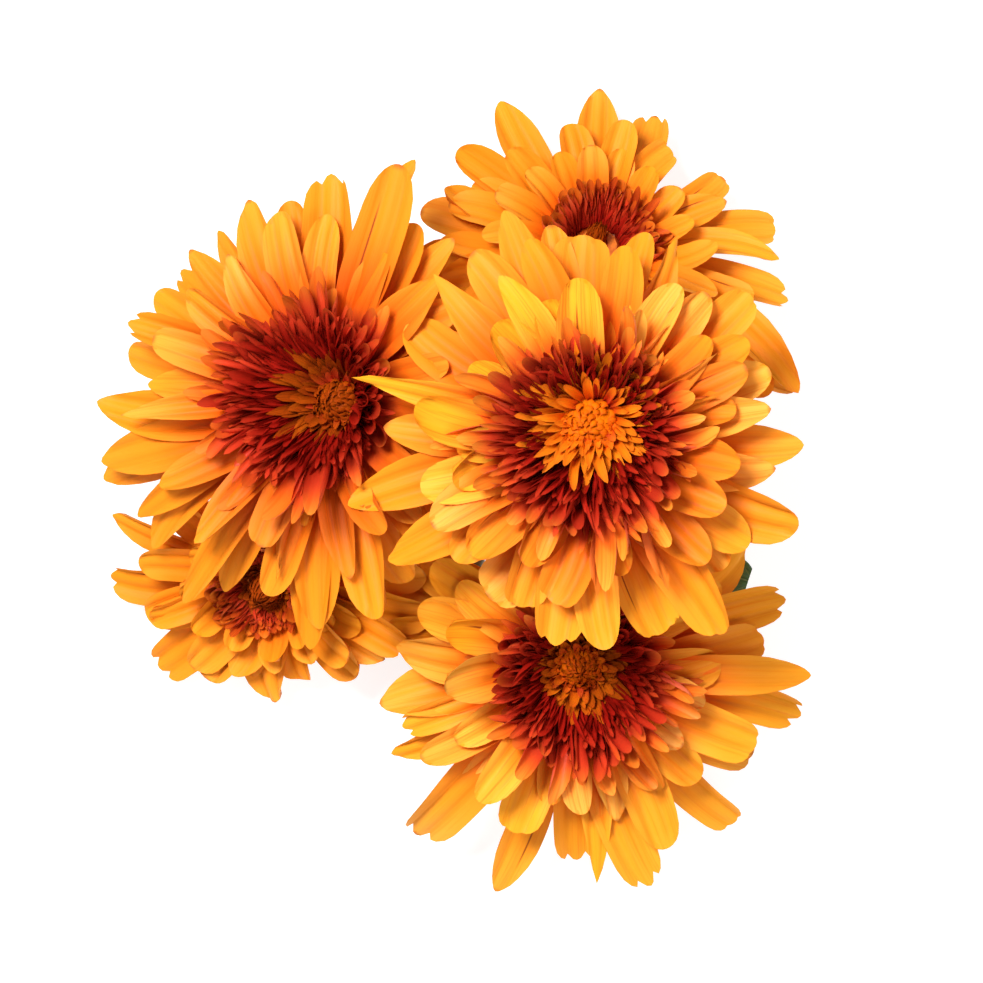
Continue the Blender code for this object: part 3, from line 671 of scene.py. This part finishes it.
# Bracts of the involucre follow its turned profile, from the stem to the rays.
BRACT_PROFILE_RADIUS = (2.2, 4.8, 7.2, 8.6, 8.9)
BRACT_PROFILE_HEIGHT = (-11.6, -10.2, -8.4, -5.4, -2.6)
BRACT_ROWS = ((0.0, 0.55, 12, 3.4), (0.16, 0.78, 14, 3.6), (0.32, 1.0, 17, 3.6))


def bract_batches(site, head, rng):
    """Three overlapping rows of green bracts that close the head from below."""
    batches = []
    knots = np.linspace(0.0, 1.0, len(BRACT_PROFILE_RADIUS))
    for row, (start, end, count, width) in enumerate(BRACT_ROWS):
        share = start + (end - start) * ALONG * column(rng.uniform(0.93, 1.04, count))
        proud = 0.5 * (len(BRACT_ROWS) - 1 - row) + 0.5 * ALONG ** 3
        radius = np.interp(share, knots, BRACT_PROFILE_RADIUS) + proud
        height = np.interp(share, knots, BRACT_PROFILE_HEIGHT)
        grown = grow(
            radius, height, around(count, 0.5 * row), width, ("point",), (0.9, 0.9, 0.7),
            rows=9, columns=SPOON_COLUMNS, claw=0.7, belly=0.5, rib=-0.04, thickness=0.4,
            ruffle=0.04, phase=rng.uniform(0.0, math.tau, count),
        )
        batches.append(placed(site, head, grown, tints(rng, head, count)))
    return batches


def add_head(head, seed, materials):
    """All the visible pieces of one flower head."""
    site = HeadFrame(head.name)
    rng = np.random.default_rng(seed)

    def add(title, batches, finish, slot, node):
        mesh = make_mesh(f"{head.name}_{title}", batches)
        add_piece(mesh, materials[finish], slot, f"{head.name}_{node}")

    # The last value of each tier is its painted lit-side paling.
    tiers = (("outer_rays", "yellow_ray", head.outer, 0.0, -0.02, -0.1, -0.15),
             ("inner_rays", "orange_ray", head.inner, 1.0, 0.0, 0.0, -0.1),
             ("middle_rays", "orange_ray", head.middle, 1.85, 0.0, 0.15, head.painted_lit_side_paling))
    reaches = {}
    for title, slot, *growth in tiers:
        batch, *reaches[title] = ray_batch(site, head, rng, *growth)
        add(f"{title}_florets", [batch], "ray", slot, title)

    def reach_at(azimuth):
        return np.interp(azimuth, *reaches["inner_rays"], period=math.tau)

    def rings(rows, form, cycle):
        """Each ring is turned half a floret on from the one below, and back after a cycle."""
        return [ring_batch(site, head, rng, ring, reach_at, 0.5 * (index % cycle), form)
                for index, ring in enumerate(rows)]

    add("rolled_spoon_florets", rings(SPOON_RINGS, SPOON_FORM, 2), "spoon", "spoon",
        "spoon_florets")
    add("rolled_quill_florets", rings(QUILL_RINGS, QUILL_FORM, 2), "quill", "quill",
        "quill_florets")
    add("star_florets", rings(STAR_RINGS, STAR_FORM, len(STAR_RINGS)), "star", "eye", "eye")
    add("disc_florets", [disc_batch(site, head, rng), cushion_batch(site, head, rng)],
        "disc", "eye", "eye")
    add("bracts", bract_batches(site, head, rng), "bract", "calyx", "involucre")
    dress_node(f"{head.name}_receptacle", materials["core"])


# ---------------- stems and leaves

# The frame's stems, repeated in the coordinates of the front head's origin.
FRONT_HEAD = (16.3, 8.8, 51.0)
STEM_RADIUS = 2.3
STEM_TIP_RADIUS = 1.5
PEDICEL_RADIUS = 1.25
PEDICEL_FLARES = (1.5, 1.3)  # how much wider its two ends are
STEM_SEAT = -11.8  # where a stem meets its head, above the head's origin
STEM_APPROACH = 3.0
STEM_ROUTE = (
    (-8.5, -37.0, 2.35), (-7.5, -30.0, 2.35), (-6.3, -23.0, 2.4), (-4.2, -14.5, 2.5),
    (-1.6, -7.0, 3.0), (1.6, -1.5, 4.6), (5.4, 2.2, 8.4), (9.0, 4.6, 13.5),
    (13.6, 7.2, 24.0),
)
PEDICELS = (
    ("left", 7, ((4.0, 10.5, 12.0), (-7.0, 13.0, 11.5), (-17.0, 14.5, 14.5))),
    ("top", 6, ((6.8, 9.5, 5.2), (9.5, 18.0, 2.6), (13.0, 27.0, 2.6))),
    ("lower", 4, ((5.0, -10.5, 2.4), (10.0, -16.5, 1.9))),
    ("rear", 3, ((-11.0, -11.0, 2.0), (-20.0, -8.0, 1.6))),
)
STEM_SIDES = 20
STEM_STEPS = 7  # sections between two knots of a route
STEM_RIDGES = 6
STEM_RIDGE_HEIGHT = 0.05  # share of the stem's radius
CATMULL_ROM = np.array(((0, 2, 0, 0), (-1, 0, 1, 0), (2, -5, 4, -1), (-1, 3, -3, 1))) / 2.0

LEAVES = (
    ("leaf_right", "main_stem", 5, -20, 2, 43.6, 16.0),
    ("leaf_far_right", "top_pedicel", 2, -5, 12, 33.0, 17.0),
    ("leaf_upper", "left_pedicel", 2, 88, 6, 24.0, 15.0),
    ("leaf_left", "main_stem", 5, 148, 10, 36.0, 16.0),
    ("leaf_lower_left", "main_stem", 2, 168, 6, 16.0, 9.0),
)
LEAF_REST = 0.7  # height of the leaves' midribs above the floor
LEAF_COLUMNS = 25
LEAF_ROWS = 90
LEAF_THICKNESS = 0.4
LEAF_VEINS = 24.0  # phase that the side veins run through along a leaf
LEAF_VEIN_SLANT = 0.12  # how far they run forward, as share of the length
LEAF_FOLD = 0.24  # rise of the blade from midrib to edge, over its half width
LEAF_WAVE = 0.5
LEAF_SEED = 77


def spray_shift():
    """From the coordinates of STEM_ROUTE to the row frame."""
    return HeadFrame("front").origin - np.array(FRONT_HEAD)


def smooth_route(knots):
    """Points on a smooth curve through a route's knots."""
    knots = np.array(knots, float)
    padded = np.vstack([2 * knots[0] - knots[1], knots, 2 * knots[-1] - knots[-2]])
    powers = (np.arange(STEM_STEPS)[:, None] / STEM_STEPS) ** np.arange(4)
    spans = [powers @ CATMULL_ROM @ padded[start:start + 4] for start in range(len(knots) - 1)]
    return np.vstack(spans + [knots[-1]])


def stem_mesh(name, route, radii):
    """A ribbed stem swept along a route, with closed ends."""
    points = smooth_route(route)
    knots = np.linspace(0.0, 1.0, len(radii))
    girth = np.interp(np.linspace(0.0, 1.0, len(points)), knots, radii)
    tangent = unit(np.gradient(points, axis=0))
    side = unit(np.cross(tangent, (0.31, 0.11, 0.94)))
    up = np.cross(side, tangent)
    turn = np.linspace(0.0, math.tau, STEM_SIDES, endpoint=False)
    ridge = 1.0 + STEM_RIDGE_HEIGHT * np.cos(STEM_RIDGES * turn)
    ring = np.cos(turn)[None, :, None] * side[:, None] + np.sin(turn)[None, :, None] * up[:, None]
    skin = points[:, None] + ring * (girth[:, None] * ridge[None, :])[..., None]
    skin[..., 2] = np.maximum(skin[..., 2], LOWEST)
    grid = np.arange(skin.shape[0] * STEM_SIDES).reshape(-1, STEM_SIDES)
    after = np.roll(grid, -1, axis=1)
    bands = np.stack([grid[:-1], after[:-1], after[1:], grid[1:]], axis=-1).reshape(-1, 4)
    caps = []
    for rim in (grid[0][::-1], grid[-1]):
        half = STEM_SIDES // 2
        for step in range(half - 1):
            caps.append((rim[step], rim[step + 1], rim[-2 - step], rim[-1 - step]))
    return smooth_mesh(name, skin.reshape(-1, 3), np.vstack([bands, caps]))


def add_stems(materials):
    """The main stem and the pedicels, each reaching into what it grows from."""
    shift = spray_shift()
    heads = {head.name: HeadFrame(head.name) for head in HEADS}

    def top(name):
        ends = np.array(((0.0, 0.0, STEM_SEAT - STEM_APPROACH), (0.0, 0.0, STEM_SEAT + 0.4)))
        return list(heads[name].place(ends))

    main = [np.array(point) + shift for point in STEM_ROUTE] + top("front")
    radii = np.linspace(STEM_RADIUS, STEM_TIP_RADIUS, len(main))
    routes = {"main_stem": main}
    add_piece(stem_mesh("main_stem_bark", main, radii), materials["stem"], "stem", "main_stem")
    for name, knot, way in PEDICELS:
        route = [main[knot]] + [np.array(point) + shift for point in way] + top(name)
        routes[f"{name}_pedicel"] = route
        girth = np.full(len(route), PEDICEL_RADIUS)
        girth[[0, -1]] *= PEDICEL_FLARES
        mesh = stem_mesh(f"{name}_pedicel_bark", route, girth)
        add_piece(mesh, materials["stem"], "stem", f"{name}_pedicel")
    return routes


def leaf_lobes(share, across):
    """Half width of a lobed and toothed leaf, as a share of its greatest."""
    swept = share + 0.07 * (1.0 - share) * np.abs(across)
    blade = smoothstep(swept, 0.2, 0.34)
    envelope = np.sin(np.clip((swept - 0.12) / 0.9, 0, 1) * math.pi) ** 0.6
    lobes = 0.62 + 0.38 * np.abs(np.cos((swept - 0.45) * math.pi * 3.4)) ** 0.6
    teeth = 1.0 + 0.07 * np.abs(np.sin(swept * 46.0))
    return 0.07 + blade * envelope * lobes * teeth * 0.93


def leaf_mesh(name, root, heading, bend, length, width, rng):
    """A leaf blade on its stalk, lying along the floor from its root."""
    share = np.linspace(0.0, 1.0, LEAF_ROWS + 1)[:, None]
    across = np.linspace(-1.0, 1.0, LEAF_COLUMNS)[None, :]
    turn = np.radians(heading + bend * share)
    forward = np.concatenate([np.cos(turn), np.sin(turn)], axis=1)[:, None, :]
    aside = np.stack([-forward[..., 1], forward[..., 0]], axis=-1)
    half = width / 2.0 * leaf_lobes(share, across)
    flat = root[None, None, :2] + forward * (length * share)[..., None]
    flat = flat + aside * (half * across)[..., None]
    rise = LEAF_REST + (root[2] - LEAF_REST) * (1.0 - share) ** 3
    rib = np.abs(across)
    wave = np.sin((share + LEAF_VEIN_SLANT * rib) * LEAF_VEINS)
    veins = np.exp(-(wave / 0.25) ** 2) * smoothstep(rib, 0.05, 0.2)
    waves = LEAF_WAVE * np.sin(share * 13.0 + across * 2.1) * rib ** 2
    height = rise + LEAF_FOLD * half * rib + waves
    height = height - 0.12 * veins - 0.25 * np.exp(-(rib / 0.06) ** 2)
    front = np.concatenate([flat, height[..., None]], axis=-1)
    back = front - (0.0, 0.0, LEAF_THICKNESS / 2.0)
    back[..., 2] = np.maximum(back[..., 2], LOWEST)
    front[1:-1, 1:-1, 2] += LEAF_THICKNESS / 2.0
    sheet = closed_sheets(front[None], back[None], share, across, rib)
    return make_mesh(name, [Batch(*sheet, rng.random((1, 3)))])


def add_leaves(routes, materials):
    rng = np.random.default_rng(LEAF_SEED)
    for name, stem, knot, heading, bend, length, width in LEAVES:
        root = routes[stem][knot]
        mesh = leaf_mesh(f"{name}_blade", root, heading, bend, length, width, rng)
        add_piece(mesh, materials["leaf"], "leaf", name)


# ---------------- materials

# Petal colours, in linear light.
DEEP_ORANGE = (0.80, 0.10, 0.003)
GOLD = (0.81, 0.285, 0.008)
LEMON = (0.94, 0.42, 0.014)
# Painted highlights: pale yellow on rims and outer parts, cream near tips.
RIM_HIGHLIGHT_YELLOW = (0.99, 0.57, 0.09)
HIGHLIGHT_CREAM = (1.0, 0.68, 0.20)
RED = (0.60, 0.046, 0.015)
MAROON = (0.36, 0.010, 0.005)
DULL_ORANGE = (0.44, 0.055, 0.002)
EYE_BROWN = (0.26, 0.036, 0.002)
STREAK_BROWN = (0.20, 0.018, 0.005)
TIP_BROWN = (0.34, 0.06, 0.012)

DARK_GREEN = (0.03, 0.085, 0.02)
LEAF_GREEN = (0.06, 0.13, 0.03)
VEIN_GREEN = (0.14, 0.20, 0.06)
UNDERSIDE_GREEN = (0.16, 0.22, 0.10)

BUMP_DISTANCE = 0.0002


class Shader:
    """A material's node tree, built in short steps."""

    def __init__(self, name, roughness, **settings):
        self.material = bpy.data.materials.new(name)
        self.material.use_nodes = True
        self.nodes = self.material.node_tree.nodes
        self.links = self.material.node_tree.links
        self.surface = self.nodes["Principled BSDF"].inputs
        self.fill(self.surface, Roughness=roughness, **settings)

    def add(self, kind, *values, **settings):
        """A node, with values or links at its inputs in their order."""
        node = self.nodes.new("ShaderNode" + kind)
        for title, value in settings.items():
            setattr(node, title, value)
        for socket, value in zip(node.inputs, values):
            self.plug(socket, value)
        return node

    def plug(self, socket, value):
        if isinstance(value, bpy.types.NodeSocket):
            self.links.new(value, socket)
        else:
            socket.default_value = value

    def fill(self, sockets, **values):
        for title, value in values.items():
            self.plug(sockets[title.replace("_", " ")], value)

    def math(self, operation, first, second=0.0, third=0.0):
        return self.add("Math", first, second, third, operation=operation).outputs[0]

    def times(self, first, second):
        return self.math("MULTIPLY", first, second)

    def attribute(self, name):
        """Three values of a vector attribute."""
        source = self.add("Attribute", attribute_name=name)
        return self.add("SeparateXYZ", source.outputs["Vector"]).outputs

    def reverse(self):
        return self.add("Attribute", attribute_name="reverse").outputs["Fac"]

    def range(self, value, low, high, start=0.0, end=1.0):
        """From start to end, smoothly, while a value goes from low to high."""
        return self.add("MapRange", value, low, high, start, end,
                        interpolation_type="SMOOTHSTEP").outputs[0]

    def ramp(self, value, *stops):
        """Colours between stops of position, red, green and blue."""
        node = self.add("ValToRGB", value)
        elements = node.color_ramp.elements
        while len(elements) < len(stops):
            elements.new(0.5)
        for element, (position, *colour) in zip(elements, stops):
            element.position = position
            element.color = (*colour, 1.0)
        return node.outputs[0]

    def mix(self, share, first, second):
        """The first colour, going over to the second by a share."""
        node = self.add("Mix", share, data_type="RGBA")
        sockets = [socket for socket in node.inputs if socket.type == "RGBA"]
        for socket, value in zip(sockets, (first, second)):
            self.plug(socket, (*value, 1.0) if isinstance(value, tuple) else value)
        return [socket for socket in node.outputs if socket.type == "RGBA"][0]

    def vector(self, x, y, z):
        return self.add("CombineXYZ", x, y, z).outputs[0]

    def noise(self, vector, scale, detail):
        node = self.add("TexNoise")
        self.fill(node.inputs, Vector=vector, Scale=scale, Detail=detail)
        return node.outputs["Fac"]

    def finish(self, colour, height, strength):
        """Set the surface's colour and bump, and give the material back."""
        bump = self.add("Bump")
        self.fill(bump.inputs, Strength=strength, Distance=BUMP_DISTANCE, Height=height)
        self.fill(self.surface, Base_Color=colour, Normal=bump.outputs[0])
        return self.material


def veins(shader, along, across, seed):
    """Fine lengthwise veins, different on every floret."""
    lines = shader.vector(shader.times(across, 9.0), shader.times(along, 1.1),
                          shader.times(seed, 37.0))
    return shader.noise(lines, 1.6, 3.0)


def add_marks(shader, colour, along, across, rim, seed, other):
    """Brown: a short streak on some rays, and the very tip of others."""
    centre = shader.math("MULTIPLY_ADD", other, 1.2, -0.6)
    line = shader.math("ABSOLUTE", shader.math("SUBTRACT", across, centre))
    thin = shader.range(line, 0.015, 0.05, 1.0, 0.0)
    chosen = shader.range(seed, 0.80, 0.82, 0.0, 0.8)
    stretch = shader.times(shader.range(along, 0.4, 0.5), shader.range(along, 0.72, 0.86, 1.0, 0.0))
    colour = shader.mix(shader.times(shader.times(thin, chosen), stretch), colour, STREAK_BROWN)
    tip = shader.times(shader.range(along, 0.965, 1.0), shader.range(rim, 0.1, 0.4, 1.0, 0.0))
    tip = shader.times(tip, shader.range(other, 0.75, 0.8, 0.0, 0.7))
    return shader.mix(tip, colour, TIP_BROWN)


def floret_material(name, front, back, deep, zone, edge=0.0, streaks=False, roughness=0.5,
                    duller=DULL_ORANGE, dulling=0.5, gloss=0.12):
    """Petal skin: lengthwise ramps for both faces, veins, blotches, a darker base.

    zone is the span of radius, in dark radii, over which the deep colour fades out;
    edge is how strongly a lemon floret's rims and outer part get a painted pale highlight;
    streaks is for rays, with a painted pale highlight near some tips and brown marks;
    dulling is how far an amber floret's colour goes over to the duller one.
    """
    shader = Shader(name, roughness, Specular_IOR_Level=gloss)
    along, across, radius = shader.attribute("place")
    # On rays, amber includes the painted lit-side paling.
    seed, other, amber = shader.attribute("tint")
    rim = shader.math("ABSOLUTE", across)
    vein = veins(shader, along, across, seed)
    shifted = shader.math("ADD", along, shader.math("MULTIPLY_ADD", vein, 0.3, -0.15))
    top = shader.ramp(shifted, *front)
    # Painted highlight: pale yellow over the rims and outer part, stronger on lemon florets.
    painted_rim_highlight = shader.times(shader.range(rim, 0.05, 0.9, 0.25, 1.0), shader.range(along, 0.3, 0.85))
    rim_highlight_strength = shader.range(amber, -0.25, 0.35, 1.2 * edge, 0.25 * edge)
    top = shader.mix(shader.times(painted_rim_highlight, rim_highlight_strength), top, RIM_HIGHLIGHT_YELLOW)
    if streaks:
        # Painted highlight: pale cream near the tips of some rays, stronger on lemon florets.
        painted_tip_highlight = shader.times(shader.range(shifted, 0.6, 1.0), shader.range(other, 0.3, 0.9))
        tip_highlight_strength = shader.range(amber, 0.0, 0.5, 0.5, 0.1)
        top = shader.mix(shader.times(painted_tip_highlight, tip_highlight_strength), top, HIGHLIGHT_CREAM)
    colour = shader.mix(shader.reverse(), top, shader.ramp(shifted, *back))
    # Darker orange along the two furrows: partly vein colour, partly painted shade in the furrows.
    furrow = shader.math("ABSOLUTE", shader.math("SUBTRACT", rim, FURROW))
    furrow_shade = shader.times(shader.range(furrow, 0.0, 0.13, 1.0, 0.0), 0.45)
    colour = shader.mix(furrow_shade, colour, DEEP_ORANGE)
    # Goes over to a duller, darker colour as amber rises, varied per floret; on rays amber carries
    # the painted lit-side paling, so this shifts with the side toward the key light.
    hue = shader.math("MULTIPLY_ADD", seed, 0.3, -0.05)
    hue = shader.math("MULTIPLY_ADD", amber, dulling, hue)
    colour = shader.mix(shader.range(hue, 0.0, 1.0), colour, duller)
    # Lemon towards the tips where amber is low; on rays this follows the painted lit-side paling
    # too.
    lemon_share = shader.times(shader.range(amber, -0.3, 0.25, 0.8, 0.0),
                         shader.range(along, 0.4, 0.9))
    colour = shader.mix(lemon_share, colour, LEMON)
    colour = shader.mix(shader.range(vein, 0.48, 0.72, 0.0, 0.5), colour, DEEP_ORANGE)
    if streaks:
        colour = shader.mix(shader.range(radius, 1.3, 2.3, 0.0, 0.6), colour, GOLD)
    base = shader.math("ADD", radius, shader.math("MULTIPLY_ADD", other, 0.24, -0.12))
    low, high = zone
    blush = shader.range(base, low + 0.1, high + 0.15, 1.0, 0.0)
    colour = shader.mix(blush, colour, RED)
    depth = shader.range(base, low - 0.15, high - 0.1, 1.0, 0.0)
    colour = shader.mix(depth, colour, deep)
    if streaks:
        colour = add_marks(shader, colour, along, across, rim, seed, other)
    return shader.finish(colour, vein, 0.28)


def plain_material(name, low, high, roughness, scale, stretch=(1.0, 1.0, 1.0)):
    """Two mixed tones over the object's own space, for stems and the like."""
    shader = Shader(name, roughness)
    place = shader.add("NewGeometry").outputs["Position"]
    place = shader.add("VectorMath", place, stretch, operation="MULTIPLY").outputs[0]
    tone = shader.noise(place, scale, 4.0)
    colour = shader.mix(shader.range(tone, 0.35, 0.65), low, high)
    return shader.finish(colour, tone, 0.4)


def leaf_material():
    """Leaf green, lighter along its veins and paler underneath."""
    shader = Shader("leaf_green", 0.5, Specular_IOR_Level=0.35)
    along, across, _ = shader.attribute("place")
    rim = shader.math("ABSOLUTE", across)
    midrib = shader.range(rim, 0.02, 0.07, 1.0, 0.0)
    slanted = shader.math("MULTIPLY_ADD", rim, LEAF_VEIN_SLANT, along)
    wave = shader.math("SINE", shader.times(slanted, LEAF_VEINS))
    side_vein = shader.range(shader.math("ABSOLUTE", wave), 0.0, 0.25, 1.0, 0.0)
    vein = shader.math("MAXIMUM", midrib, shader.times(side_vein, 0.5))
    mottle = shader.noise(shader.vector(across, shader.times(along, 3.0), 0.0), 9.0, 4.0)
    green = shader.mix(shader.range(mottle, 0.3, 0.7), DARK_GREEN, LEAF_GREEN)
    green = shader.mix(vein, green, VEIN_GREEN)
    green = shader.mix(shader.times(shader.reverse(), 0.6), green, UNDERSIDE_GREEN)
    return shader.finish(green, mottle, 0.4)


def make_materials():
    """The materials by the names that their pieces ask for."""
    materials = {}
    materials["ray"] = floret_material(
        "ray_skin",
        ((0.0, 0.60, 0.034, 0.003), (0.3, 0.82, 0.095, 0.003), (0.6, 0.87, 0.165, 0.005),
         (0.86, 0.89, 0.235, 0.008), (1.0, 0.89, 0.30, 0.012)),
        ((0.0, 0.66, 0.07, 0.02), (0.5, 0.84, 0.14, 0.04), (1.0, 0.92, 0.26, 0.035)),
        (0.42, 0.016, 0.004), (0.66, 1.02), edge=0.5, streaks=True)
    materials["spoon"] = floret_material(
        "spoon_skin",
        ((0.0, 0.60, 0.025, 0.004), (0.4, 0.84, 0.12, 0.005), (0.75, 0.90, 0.18, 0.012),
         (1.0, 0.94, 0.31, 0.035)),
        ((0.0, 0.42, 0.012, 0.005), (0.4, 0.66, 0.05, 0.02), (0.75, 0.80, 0.13, 0.07),
         (1.0, 0.88, 0.24, 0.10)),
        (0.40, 0.012, 0.005), (0.82, 1.18), edge=0.5, roughness=0.42)
    materials["quill"] = floret_material(
        "quill_skin",
        ((0.0, 0.34, 0.009, 0.003), (0.6, 0.58, 0.045, 0.008), (1.0, 0.88, 0.22, 0.02)),
        ((0.0, 0.34, 0.008, 0.004), (0.55, 0.56, 0.032, 0.012), (0.8, 0.72, 0.09, 0.035),
         (1.0, 0.84, 0.18, 0.055)),
        MAROON, (0.8, 1.15), roughness=0.34, duller=(0.32, 0.026, 0.005), dulling=0.6)
    materials["star"] = floret_material(
        "star_skin",
        ((0.0, 0.40, 0.020, 0.003), (0.4, 0.74, 0.12, 0.003), (0.75, 0.88, 0.22, 0.005),
         (1.0, 0.72, 0.12, 0.008)),
        ((0.0, 0.42, 0.024, 0.003), (0.5, 0.66, 0.10, 0.005), (0.9, 0.76, 0.14, 0.010),
         (1.0, 0.60, 0.05, 0.012)),
        MAROON, (0.0, 0.2), edge=0.15, duller=EYE_BROWN, dulling=0.9, gloss=0.05)
    materials["disc"] = floret_material(
        "disc_skin",
        ((0.0, 0.84, 0.15, 0.002), (0.7, 0.86, 0.20, 0.002), (1.0, 0.60, 0.06, 0.006)),
        ((0.0, 0.84, 0.15, 0.002), (0.66, 0.86, 0.20, 0.002), (0.84, 0.72, 0.10, 0.004),
         (1.0, 0.48, 0.028, 0.006)),
        MAROON, (-1.0, -0.5), duller=EYE_BROWN, dulling=0.9, gloss=0.05)
    for name, title, *look in (
            ("core", "eye_core", (0.50, 0.09, 0.003), (0.70, 0.16, 0.004), 0.6, 900.0),
            ("bract", "bract_green", (0.07, 0.14, 0.03), (0.13, 0.20, 0.06), 0.55, 700.0),
            ("stem", "stem_green", (0.10, 0.15, 0.04), (0.20, 0.16, 0.07), 0.55, 260.0,
             (1.0, 1.0, 0.4))):
        materials[name] = plain_material(title, *look)
    materials["leaf"] = leaf_material()
    return materials


# ---------------- studio

VIEW_WIDTH = 162.2  # width of the picture at the heads' height
VIEW_HEIGHT = 30.0  # height of that plane above the floor
LENS = 400.0
SENSOR = 36.0
CLIP_END = 20.0
FLOOR_SIZE = 8.0
FLOOR_LEVEL = -0.0002  # just below the spray
FLOOR_GLOW = 0.8  # keeps the floor pale in the heads' shade
DAYLIGHT = 0.5
WHITE = (1.0, 1.0, 1.0, 1.0)
# Lamps: place in metres, size, watts and colour.
LAMPS = (
    ("key", (-0.3, 0.3, 0.98), 0.34, 15.4, (1.0, 0.985, 0.95)),
    ("fill", (0.5, -0.5, 1.05), 0.6, 3.4, (1.0, 1.0, 1.0)),
)


def add_studio():
    """Pale floor, light from the upper left, a weak fill, and a camera straight above."""
    scene = bpy.context.scene
    shift = spray_shift() * MM
    middle = Vector((shift[0], shift[1], VIEW_HEIGHT * MM))
    bpy.ops.mesh.primitive_plane_add(size=FLOOR_SIZE, location=(0.0, 0.0, FLOOR_LEVEL))
    floor = bpy.context.object
    floor.name = "floor"
    shader = Shader("floor_paper", 0.9, Base_Color=(0.4, 0.4, 0.4, 1.0), Specular_IOR_Level=0.1,
                    Emission_Color=WHITE, Emission_Strength=FLOOR_GLOW)
    floor.data.materials.append(shader.material)

    world = bpy.data.worlds.new("studio")
    world.use_nodes = True
    background = world.node_tree.nodes["Background"].inputs
    background["Color"].default_value = WHITE
    background["Strength"].default_value = DAYLIGHT
    scene.world = world
    for name, place, size, power, colour in LAMPS:
        data = bpy.data.lights.new(name, "AREA")
        data.shape = "DISK"
        data.size = size
        data.energy = power
        data.color = colour
        lamp = bpy.data.objects.new(name, data)
        lamp.location = place
        lamp.rotation_euler = (middle - lamp.location).to_track_quat("-Z", "Y").to_euler()
        scene.collection.objects.link(lamp)

    data = bpy.data.cameras.new("camera")
    data.lens = LENS
    data.sensor_width = SENSOR
    data.clip_end = CLIP_END
    camera = bpy.data.objects.new("camera", data)
    away = VIEW_WIDTH * MM * LENS / SENSOR
    camera.location = (middle.x, middle.y, VIEW_HEIGHT * MM + away)
    scene.collection.objects.link(camera)
    scene.camera = camera
    scene.view_settings.view_transform = "Standard"
    scene.cycles.adaptive_threshold = 0.03
    scene.cycles.max_bounces = 6
    scene.cycles.diffuse_bounces = 3


def main():
    materials = make_materials()
    for index, head in enumerate(HEADS):
        add_head(head, FIRST_SEED + index, materials)
    routes = add_stems(materials)
    add_leaves(routes, materials)
    add_studio()
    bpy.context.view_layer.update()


main()
